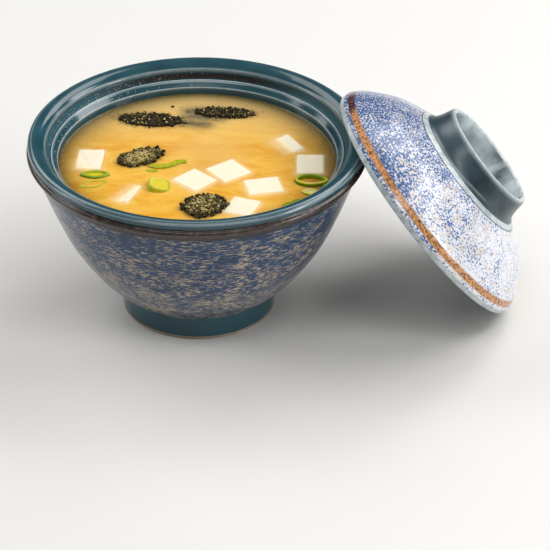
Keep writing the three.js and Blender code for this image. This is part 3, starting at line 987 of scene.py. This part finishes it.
class MISO_OT_splashes(bpy.types.Operator):
    """Small drops of broth on the ledge inside the rim"""

    bl_idname = "miso.splashes"
    bl_label = "Splashes"

    DROPS = 260
    FACING, SPREAD = 138, 24      # where round the bowl most of them lie, in degrees
    LEDGE = ((63.3, 69), (74.5, 83))         # its radii and its heights
    SIZES = (0.1, 0.34)

    def execute(self, context):
        draw = random.Random(context.scene.miso_toppings.seed)
        outline = [point for _, points in bowl_sections() for point in points]
        (nearest, furthest), (lowest, highest) = self.LEDGE
        ledge = [(r, z) for r, z in outline if nearest < r < furthest and lowest < z < highest]
        shape = bmesh.new()
        for _ in range(self.DROPS):
            i = draw.randrange(len(ledge) - 1)
            share = draw.random()
            angle = math.radians(draw.gauss(self.FACING, self.SPREAD))
            radius, height = (a + (b - a) * share for a, b in zip(ledge[i], ledge[i + 1]))
            spot = BOWL_AXIS + Vector((radius * math.cos(angle), radius * math.sin(angle), height)) * MM
            size = draw.uniform(*self.SIZES) * MM
            add_lump(shape, Matrix.Translation(spot), (size, size, size * 0.8))
        drops = from_bmesh(shape, "broth_drops")
        dress(settle(drops), "broth", (glint_painted_drops(context.scene.miso_glaze),))
        return {"FINISHED"}


# ---------------------------------------------------------------- toppings


def own_box(node, turn=0.0, tip_x=0.0, tip_y=0.0):
    """Where a CAD node stands in its own turned axes: the place of its middle, and its size."""
    spin = Matrix.Rotation(math.radians(turn), 4, "Z")
    spin @= Matrix.Rotation(math.radians(tip_y), 4, "Y") @ Matrix.Rotation(math.radians(tip_x), 4, "X")
    back = spin.inverted()
    corners = np.array([back @ v.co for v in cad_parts[node].data.vertices])
    low, high = Vector(corners.min(0)), Vector(corners.max(0))
    return spin @ Matrix.Translation((low + high) / 2), high - low


def from_bmesh(shape, name):
    piece = new_piece(name, [], [])
    shape.to_mesh(piece.data)
    shape.free()
    piece.data.materials.clear()
    piece.data.shade_smooth()
    return piece


def modified(piece, *modifiers):
    """Applies modifiers to a piece, each a kind and its settings."""
    for kind, settings in modifiers:
        modifier = piece.modifiers.new(kind.lower(), kind)
        for name, value in settings.items():
            setattr(modifier, name, value)
    graph = bpy.context.evaluated_depsgraph_get()
    mesh = bpy.data.meshes.new_from_object(piece.evaluated_get(graph))
    piece.modifiers.clear()
    old, piece.data = piece.data, mesh
    bpy.data.meshes.remove(old)
    mesh.shade_smooth()
    return piece


def add_lump(shape, place, size, detail=1):
    """A lump of a given size added to a mesh; gives its points."""
    return bmesh.ops.create_icosphere(
        shape, subdivisions=detail, radius=1.0, matrix=place @ Matrix.Diagonal((*size, 1.0))
    )["verts"]


def squared(angle, power):
    """(x, y) on a circle of radius 1 that the power squares off: 1 leaves it round."""
    return [math.copysign(abs(part) ** power, part) for part in (math.cos(angle), math.sin(angle))]


def on_oval(place, size, reach, angle):
    """A point of the oval that a turned box holds, level with its middle, at a share of the oval's radius."""
    across, along = size.x / 2 * reach, size.y / 2 * reach
    return place @ Vector((across * math.cos(angle), along * math.sin(angle), 0))


class MISO_OT_tofu(bpy.types.Operator):
    """Cubes of tofu, floating nearly level with the broth"""

    bl_idname = "miso.tofu"
    bl_label = "Tofu"

    # turn, tip_x and tip_y of each cube, in degrees
    TILTS = (
        (-6.5, 2.6, -4), (67, -14, 2.4), (46, 0, 1), (37, 1, 0),
        (13, 1, 0), (-22, 1, -1), (-60, 13, 0), (-1, 2, 0),
    )
    EDGE = 0.4 * MM                           # how far its edges are rounded
    REMESH = {"mode": "VOXEL", "voxel_size": 0.36 * MM}
    HOLLOWS = ((5.5, 0.16), (1.6, 0.04))      # width and depth of the hollows in its faces

    def execute(self, context):
        material = bean_curd(context.scene.miso_toppings)
        for node, tilt in zip(TOFU_NODES, self.TILTS):
            place, size = own_box(node, *tilt)
            shape = bmesh.new()
            bmesh.ops.create_cube(shape, size=1.0, matrix=Matrix.Diagonal((*size, 1.0)))
            bmesh.ops.bevel(
                shape, geom=shape.edges[:], offset=self.EDGE, segments=3, affect="EDGES", profile=0.5
            )
            block = modified(from_bmesh(shape, f"{node}_cube"), ("REMESH", self.REMESH))
            offset = Vector(place.translation) / MM
            for vert in block.data.vertices:
                at = vert.co / MM
                hollow = sum(depth * noise.noise(at / width + offset) for width, depth in self.HOLLOWS)
                vert.co -= vert.normal * abs(hollow) * MM
            dress(settle(block, place), "bean_curd", (material,), node)
        return {"FINISHED"}


class MISO_OT_seaweed(bpy.types.Operator):
    """Crumpled clumps and strips of laver, with the crumbs round them"""

    bl_idname = "miso.seaweed"
    bl_label = "Seaweed"

    # turn in degrees, curls round the rim and inside it, their sizes, how far the middle is open and flecked
    CLUMPS = (
        (-6, 40, 110, (0.5, 0.45), 0.0),
        (-5, 38, 95, (0.5, 0.45), 0.0),
        (34, 34, 90, (0.66, 0.34), 0.8),
        (40, 34, 120, (0.7, 0.55), 0.6),
    )
    CRUMPLES = ((1.3, 0.45), (0.5, 0.25))                   # width and depth of the crumpling
    SHRINKAGE = 0.35              # how far the crumpled skin lies inside its node's
    STRIPS = 2                    # how many clumps are the strips at the back, which shed crumbs
    DUST, THINNING = 190, 9       # crumbs round each strip, and how fast they thin out away from it
    # (x, y) from the bowl's axis and size of the crumbs that lie apart
    LONE_CRUMBS = ((-12.3, 51.4, 0.95), (10.9, -44.1, 0.4), (-8.4, 50.6, 0.3))

    def execute(self, context):
        settings = context.scene.miso_toppings
        material = wet_laver(settings)
        draw = random.Random(settings.seed)
        for node, look in zip(SEAWEED_NODES, self.CLUMPS):
            shape = self.clump(node, look, settings.curl, draw)
            dress(settle(from_bmesh(shape, f"{node}_laver")), "laver", (material,), node)
        dress(settle(from_bmesh(self.crumbs(draw), "laver_crumbs")), "laver", (material,))
        return {"FINISHED"}

    def clump(self, node, look, curl, draw):
        """A node's own shape, crumpled, with curls all over what stands out of the broth."""
        turn, rim_curls, inner_curls, (rim_size, inner_size), openness = look
        place, size = own_box(node, turn)
        shape = bmesh.new()
        shape.from_mesh(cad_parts[node].data)
        fleck_and_glint = shape.verts.layers.float.new("fleck_and_glint")
        bmesh.ops.remove_doubles(shape, verts=shape.verts, dist=0.01 * MM)
        bmesh.ops.subdivide_edges(shape, edges=shape.edges[:], cuts=3, use_grid_fill=True)
        shape.normal_update()
        for vert in shape.verts:
            at = vert.co / MM
            crumple = sum(depth * noise.noise(at / width) for width, depth in self.CRUMPLES)
            vert.co += vert.normal * (crumple - self.SHRINKAGE) * MM
        tree = BVHTree.FromBMesh(shape)
        for vert in shape.verts:
            own = place.inverted() @ vert.co
            reach = Vector((own.x / size.x, own.y / size.y)).length * 2
            vert[fleck_and_glint] = openness * max(0.0, 1 - reach ** 3)
        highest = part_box(node)[1].z
        for i in range(rim_curls + inner_curls):
            on_rim = i < rim_curls
            if on_rim:
                angle, reach = 2 * math.pi * (i + draw.uniform(-0.3, 0.3)) / rim_curls, 1.0
            else:
                angle, reach = draw.uniform(0, 7), math.sqrt(draw.random()) * 0.88
            top, reach = self.landing(tree, place, size, angle, reach)
            if not top:
                continue
            big = curl * (rim_size if on_rim else inner_size) * draw.uniform(0.65, 1.25)
            span = (big * draw.uniform(0.9, 1.6), big, big * draw.uniform(0.7, 1.0))
            spin = Matrix.Rotation(draw.uniform(0, math.pi), 4, "Z")
            spin @= Matrix.Rotation(draw.uniform(-0.7, 0.7), 4, "Y")
            height = min(top.z + big * 0.2, highest - span[2])
            if on_rim:
                outwards = (top - place.translation).to_2d().normalized() * draw.uniform(-0.3, 1.1) * MM
                top += outwards.to_3d()
            # Painted highlight: some curls are painted pale on their tops, standing in for wet glints.
            pale = draw.choice((0.0, 0.0, 0.0, 0.5) if on_rim else (0.0, 0.0, 0.4, 1.1))
            lump = Matrix.Translation((top.x, top.y, height)) @ spin
            for vert in add_lump(shape, lump, span, 2):
                upness = max(0.0, (vert.co.z - height) / span[1])
                vert.co += (vert.co - lump.translation) * noise.noise(vert.co / MM / 0.4) * 0.5
                vert[fleck_and_glint] = max(pale * upness, openness * (1 - reach) * 0.9)
        return shape

    def landing(self, tree, place, size, angle, reach):
        """The outermost point of a clump, in a direction and from a reach inwards, that the broth leaves dry.

        Gives the point, or None, and the reach one step further in, as a share of the clump's half width.
        """
        overhead, sunk, step = 9 * MM, 0.3, 0.04
        while reach > 0:
            start = on_oval(place, size, reach, angle) - DOWN * overhead
            top = tree.ray_cast(start, DOWN)[0]
            reach -= step
            if top and top.z >= (SOUP_LEVEL - sunk) * MM:
                return top, reach
        return None, reach

    def crumbs(self, draw):
        """Loose crumbs on the broth: a few apart, and a dusting round the two strips at the back."""
        shape = bmesh.new()
        fleck_and_glint = shape.verts.layers.float.new("fleck_and_glint")
        spots = list(self.LONE_CRUMBS)
        for (turn, *_), node in zip(self.CLUMPS[:self.STRIPS], SEAWEED_NODES):
            place, size = own_box(node, turn)
            for _ in range(self.DUST):
                angle = draw.uniform(0, 2 * math.pi)
                reach = 1 + draw.expovariate(self.THINNING)
                spot = (on_oval(place, size, reach, angle) - BOWL_AXIS) / MM
                spots.append((spot.x, spot.y + draw.uniform(-0.8, 0.8), draw.uniform(0.07, 0.25)))
        clear_of_wall = INNER_WALL[0][0] - 2
        for x, y, size in spots:
            if math.hypot(x, y) > clear_of_wall:
                continue
            spot = BOWL_AXIS + Vector((x, y, SOUP_LEVEL + 0.1)) * MM
            spans = [size * MM * draw.uniform(0.7, 1.3) for _ in range(2)]
            place = Matrix.Translation(spot) @ Matrix.Rotation(draw.uniform(0, 3), 4, "Z")
            for vert in add_lump(shape, place, (*spans, size * 0.6 * MM)):
                vert[fleck_and_glint] = 0.1
        return shape


def onion_ring(shape, tone, line, wall, height, skin):
    """A standing ring of spring onion along a line of (x, y); skin is its shade inside, on top and outside.

    The shade on top is a pair: at the back and at the front.
    """
    section = 14                  # points round the wall's section
    squareness = 0.55
    inside, (top_back, top_front), outside = skin
    reach = max(abs(y) for _, y in line)
    rows = []
    for i, (x, y) in enumerate(line):
        along = (Vector(line[(i + 1) % len(line)]) - Vector(line[i - 1])).normalized()
        top = top_front + (top_back - top_front) * (0.5 + 0.5 * y / reach)
        row = []
        for k in range(section):
            round_x, round_z = squared(2 * math.pi * k / section, squareness)
            across = wall / 2 * round_x
            place = (x + along.y * across, y - along.x * across, height / 2 * round_z)
            vert = shape.verts.new([c * MM for c in place])
            shade = inside + (outside - inside) * (0.5 + 0.5 * round_x)
            vert[tone] = shade + (top - shade) * max(0.0, round_z) ** 3
            row.append(vert)
        rows.append(row)
    for row, following in zip(rows, rows[1:] + rows[:1]):
        for k in range(section):
            shape.faces.new((row[k], row[k - 1], following[k - 1], following[k]))


def pinched_oval(long, wide, pinch, steps=72):
    """Middle line of a ring that is pinched towards a point at each end."""
    out = []
    for i in range(steps):
        angle = 2 * math.pi * i / steps
        narrow = 1 - pinch * math.cos(angle) ** 2
        stray = 1 + 0.03 * math.sin(3 * angle + long)
        out.append((long / 2 * math.cos(angle) * stray, wide / 2 * math.sin(angle) * narrow * stray))
    return out


class MISO_OT_scallions(bpy.types.Operator):
    """Rings and strips of spring onion"""

    bl_idname = "miso.scallions"
    bl_label = "Spring onion"

    # turn in degrees, wall, pinch; shades inside, on top (at the back, in front) and outside
    RINGS = {
        "scallion_ring_1": (2, 1.5, 0.5, (0.3, (0.52, 0.6), 0.8)),
        "scallion_ring_2": (22, 0.9, 0.45, (0.4, (0.45, 0.5), 0.6)),
        "scallion_ring_4": (-5, 1.5, 0.15, (0.75, (0.7, 0.02), 1.0)),
        "scallion_ring_5": (-8, 1.3, 0.3, (0.1, (0.0, 0.12), 0.95)),
    }
    INNER_LEAVES = {"scallion_ring_1": (0.25, 0.8), "scallion_ring_5": (0.05, 0.5)}     # shade and depth
    SLICE, SLICE_TIP = "scallion_ring_3", 13              # the tip in degrees
    STRIP_SKINS = (0.62, 0.65, 1.05, 0.92)
    STRIP_SHAPING = (
        ("WELD", {"merge_threshold": 0.01 * MM}),
        ("REMESH", {"mode": "VOXEL", "voxel_size": 0.2 * MM}),
        ("SMOOTH", {"iterations": 2}),
    )

    def execute(self, context):
        material = spring_onion(context.scene.miso_toppings)
        for node, look in self.RINGS.items():
            dress(self.ring(node, *look), "spring_onion", (material,), node)
        dress(self.slice(), "spring_onion", (material,), self.SLICE)
        for i, skin in enumerate(self.STRIP_SKINS, 1):
            node = f"scallion_strip_{i}"
            dress(self.strip(node, i, skin), "spring_onion", (material,), node)
        return {"FINISHED"}

    def ring(self, node, turn, wall, pinch, skin):
        """A standing ring, some with the thin end of an inner leaf across it."""
        place, size = own_box(node, turn)
        size = size / MM
        shape = bmesh.new()
        tone = shape.verts.layers.float.new("skin")
        line = pinched_oval(size.x - wall, size.y - wall, pinch)
        onion_ring(shape, tone, line, wall, size.z, skin)
        if node in self.INNER_LEAVES:
            shade, depth = self.INNER_LEAVES[node]
            corners = [shape.verts.new((x * MM, y * MM, (size.z / 2 - depth) * MM)) for x, y in line]
            middle = shape.verts.new((0, 0, (size.z / 2 - depth * 0.6) * MM))
            for vert in (*corners, middle):
                vert[tone] = shade
            for corner, following in zip(corners, corners[1:] + corners[:1]):
                shape.faces.new((corner, following, middle))
        return settle(from_bmesh(shape, f"{node}_slice"), place)

    def slice(self):
        """A slice from near the root, closed in the middle: pale layers inside a thin green skin."""
        place, size = own_box(self.SLICE, tip_y=self.SLICE_TIP)
        half = size / MM / 2
        # share of the radius, height and shade of each row, from below to the middle of the top
        rows = (
            (0.9, -half.z, 0.3), (0.98, 0.6 - half.z, 0.3), (1.0, 0, 0.28), (0.99, half.z - 0.6, 0.3),
            (0.96, half.z - 0.2, 0.42), (0.91, half.z, 0.42), (0.86, half.z - 0.05, 0.25),
            (0.8, half.z - 0.2, 0.12), (0.72, half.z - 0.15, 0.22), (0.66, half.z - 0.2, 0.1),
            (0.45, half.z - 0.1, 0.16), (0.2, half.z - 0.15, 0.1),
        )
        steps, squareness = 64, 0.62
        skin_starts = 0.85            # as a share of the radius
        shape, loops = bmesh.new(), []
        tone = shape.verts.layers.float.new("skin")
        for share, height, shade in rows:
            loop = []
            for k in range(steps):
                x, y = squared(2 * math.pi * k / steps, squareness)
                vert = shape.verts.new((half.x * share * x * MM, half.y * share * y * MM, height * MM))
                blotch = 0.14 * noise.noise(Vector((share * x * 2.2, share * y * 2.2, 5))) + 0.03
                vert[tone] = shade + 0.08 * max(0.0, x + y) * (share > skin_starts) + blotch
                loop.append(vert)
            loops.append(loop)
        for loop, following in zip(loops, loops[1:]):
            for k in range(steps):
                shape.faces.new((loop[k - 1], loop[k], following[k], following[k - 1]))
        shape.faces.new(loops[0][::-1])
        shape.faces.new(loops[-1])
        return settle(from_bmesh(shape, f"{self.SLICE}_slice"), place)

    def strip(self, node, number, skin):
        """A curved strip from its node's own shape, with soft edges and a lighter top."""
        strip = new_piece(f"{node}_slice", [], [])
        strip.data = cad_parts[node].data.copy()
        strip.data.materials.clear()
        modified(strip, *self.STRIP_SHAPING)
        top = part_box(node)[1].z - 0.4 * MM
        shades = []
        for vert in strip.data.vertices:
            at = vert.co / MM
            lighter = 0.15 * min(max(1 - (top - vert.co.z) / (0.9 * MM), -1.0), 1.0)
            shades.append(skin - lighter + 0.25 * noise.noise(at / 2.4))
            outwards = 0.35 + 0.15 * noise.noise(at / 2.0 + Vector((0, 0, number)))
            vert.co += Vector((vert.normal.x, vert.normal.y, 0)) * outwards * MM
        write_attribute(strip, "skin", shades)
        return settle(strip)


# ---------------------------------------------------------------- panel and registration

STEPS = (
    MISO_OT_stage, MISO_OT_bowl, MISO_OT_lid, MISO_OT_broth, MISO_OT_splashes,
    MISO_OT_tofu, MISO_OT_seaweed, MISO_OT_scallions,
)
SETTINGS = {
    "miso_glaze": MisoGlazeSettings,
    "miso_lid": MisoLidSettings,
    "miso_broth": MisoBrothSettings,
    "miso_toppings": MisoToppingSettings,
    "miso_stage": MisoStageSettings,
}


class MISO_PT_soup(bpy.types.Panel):
    """Builds the soup piece by piece"""

    bl_idname = "MISO_PT_soup"
    bl_label = "Miso soup"
    bl_space_type = "VIEW_3D"
    bl_region_type = "UI"
    bl_category = "Miso Soup"

    def draw(self, context):
        for step in STEPS:
            self.layout.operator(step.bl_idname)
        for name, group in SETTINGS.items():
            box = self.layout.box()
            for setting in group.__annotations__:
                box.prop(getattr(context.scene, name), setting)


def register():
    for group in SETTINGS.values():
        bpy.utils.register_class(group)
    for name, group in SETTINGS.items():
        setattr(bpy.types.Scene, name, PointerProperty(type=group))
    for step in (*STEPS, MISO_PT_soup):
        bpy.utils.register_class(step)


def unregister():
    for step in reversed((*STEPS, MISO_PT_soup)):
        bpy.utils.unregister_class(step)
    for name, group in SETTINGS.items():
        delattr(bpy.types.Scene, name)
        bpy.utils.unregister_class(group)


def main():
    register()
    for step in STEPS:
        category, name = step.bl_idname.split(".")
        getattr(getattr(bpy.ops, category), name)()


if __name__ == "__main__":
    main()
